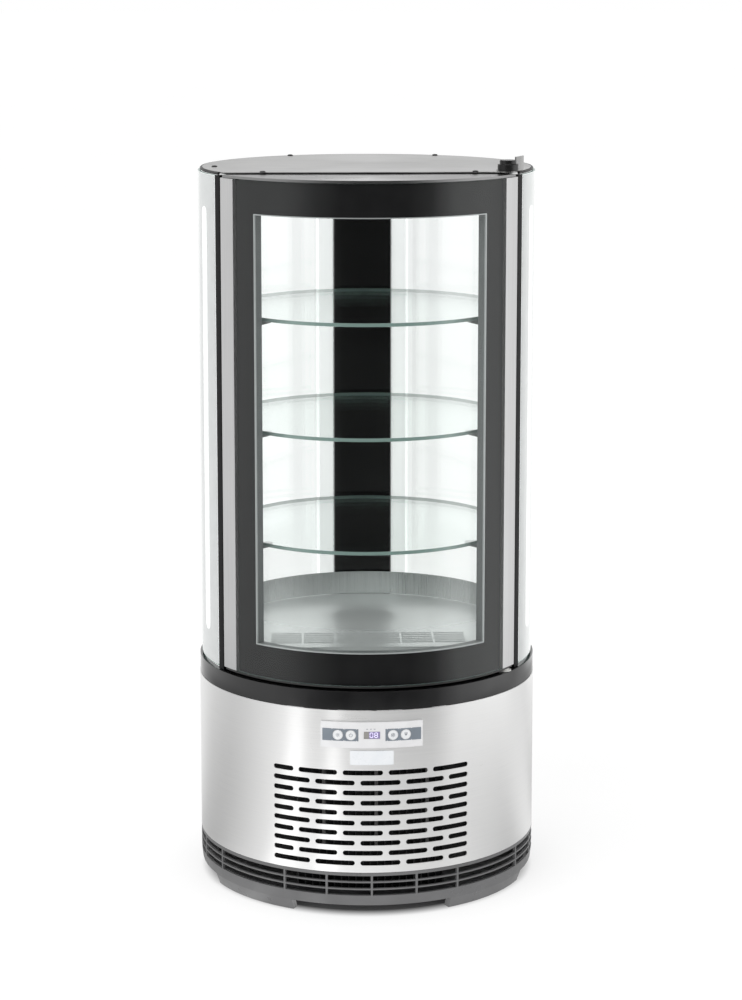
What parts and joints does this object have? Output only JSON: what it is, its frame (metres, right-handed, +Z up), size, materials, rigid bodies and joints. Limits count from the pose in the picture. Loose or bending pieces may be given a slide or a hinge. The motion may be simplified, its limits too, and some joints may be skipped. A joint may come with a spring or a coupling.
{
  "type": "refrigerated_display_case",
  "caption": "Round counter-top cold display case: slotted steel drum base, curved glass walls and door, round glass shelves, control panel with push buttons.",
  "frame": {"origin": "Centre of the round base on the surface the case stands on.", "axes": "+Z up, front with door and control panel towards -Y, +X to the right of someone facing the front."},
  "size_m": [0.45, 0.455, 0.9695],
  "materials": {
    "base_plastic": "satin moulded",
    "pan_steel": "matt black coat",
    "drum_steel": "vertical brushed",
    "belt_plastic": "satin black",
    "gland_plastic": "moulded",
    "lining_plastic": "white lining",
    "deck_steel": "brushed",
    "coil_aluminium": "plain",
    "machine_paint": "black coat",
    "condenser_coat": "black coated fins",
    "fan_plastic": "moulded",
    "panel_silver": "satin silver",
    "display_plastic": "dark window",
    "button_plastic": "white",
    "controller_plastic": "moulded",
    "pane_glass": "clear",
    "spacer_grey": "grey",
    "strip_aluminium": "brushed",
    "trim_black": "satin black",
    "lamp_lens": "diffuse white",
    "cover_steel": "brushed",
    "housing_paint": "dark grey, foam filled",
    "bushing_plastic": "white",
    "gasket_rubber": "soft magnetic seal"
  },
  "bodies": {
    "cabinet": {"base_ring": "base_plastic", "base_pan": "pan_steel", "drum_shell": "drum_steel", "belt_ring": "belt_plastic", "cable_gland": "gland_plastic", "insulation_tub": "lining_plastic", "ceiling_panel": "lining_plastic", "deck_plate": "deck_steel", "deck_grille": "deck_steel", "kick_ring": "deck_steel", "evaporator": "coil_aluminium", "compressor": "machine_paint", "condenser_shroud": "machine_paint", "condenser": "condenser_coat", "evaporator_motor": "fan_plastic", "control_panel": "panel_silver", "display_window": "display_plastic", "controller_box": "controller_plastic", "right_outer_pane": "pane_glass", "right_inner_pane": "pane_glass", "left_outer_pane": "pane_glass", "left_inner_pane": "pane_glass", "shelf_1": "pane_glass", "shelf_2": "pane_glass", "shelf_3": "pane_glass", "right_spacer": "spacer_grey", "left_spacer": "spacer_grey", "right_post": "trim_black", "left_post": "trim_black", "rear_column": "trim_black", "hinge_cap": "trim_black", "right_bracket_1": "trim_black", "right_bracket_2": "trim_black", "right_bracket_3": "trim_black", "left_bracket_1": "trim_black", "left_bracket_2": "trim_black", "left_bracket_3": "trim_black", "right_lamp": "lamp_lens", "left_lamp": "lamp_lens", "top_plate": "cover_steel", "upper_hinge_bracket": "cover_steel", "top_housing": "housing_paint", "lower_hinge_bushing": "bushing_plastic"},
    "door": {"hinge_strip": "strip_aluminium", "handle_strip": "strip_aluminium", "door_top_cap": "cover_steel", "door_bottom_cap": "trim_black", "door_bottom_rail": "trim_black", "door_top_rail": "trim_black", "door_outer_glass": "pane_glass", "door_inner_glass": "pane_glass", "door_frame": "trim_black", "door_spacer": "strip_aluminium", "door_gasket": "gasket_rubber"},
    "button_lamp": {"button_lamp": "button_plastic"},
    "button_defrost": {"button_defrost": "button_plastic"},
    "button_down": {"button_down": "button_plastic"},
    "button_up": {"button_up": "button_plastic"},
    "condenser_fan": {"condenser_fan": "fan_plastic"},
    "evaporator_fan": {"evaporator_fan": "fan_plastic"}
  },
  "joints": [
    {"name": "door_hinge", "type": "hinge", "parent": "cabinet", "child": "door", "pos_m": [0.17643, -0.124, 0.302], "axis": [0, 0, 1], "range_deg": [0, 110]},
    {"name": "button_lamp_press", "type": "slide", "parent": "cabinet", "child": "button_lamp", "axis": [0.1909, 0.9816, 0], "range_m": [0, 0.0006], "stiffness_N_per_m": 900},
    {"name": "button_defrost_press", "type": "slide", "parent": "cabinet", "child": "button_defrost", "axis": [0.1184, 0.993, 0], "range_m": [0, 0.0006], "stiffness_N_per_m": 900},
    {"name": "button_down_press", "type": "slide", "parent": "cabinet", "child": "button_down", "axis": [-0.1184, 0.993, 0], "range_m": [0, 0.0006], "stiffness_N_per_m": 900},
    {"name": "button_up_press", "type": "slide", "parent": "cabinet", "child": "button_up", "axis": [-0.1909, 0.9816, 0], "range_m": [0, 0.0006], "stiffness_N_per_m": 900},
    {"name": "condenser_fan_spin", "type": "hinge", "parent": "cabinet", "child": "condenser_fan", "pos_m": [0, -0.13874, 0.1055], "axis": [0, 1, 0], "continuous": true},
    {"name": "evaporator_fan_spin", "type": "hinge", "parent": "cabinet", "child": "evaporator_fan", "pos_m": [0, -0.04, 0.2891], "axis": [0, 0, 1], "continuous": true}
  ]
}
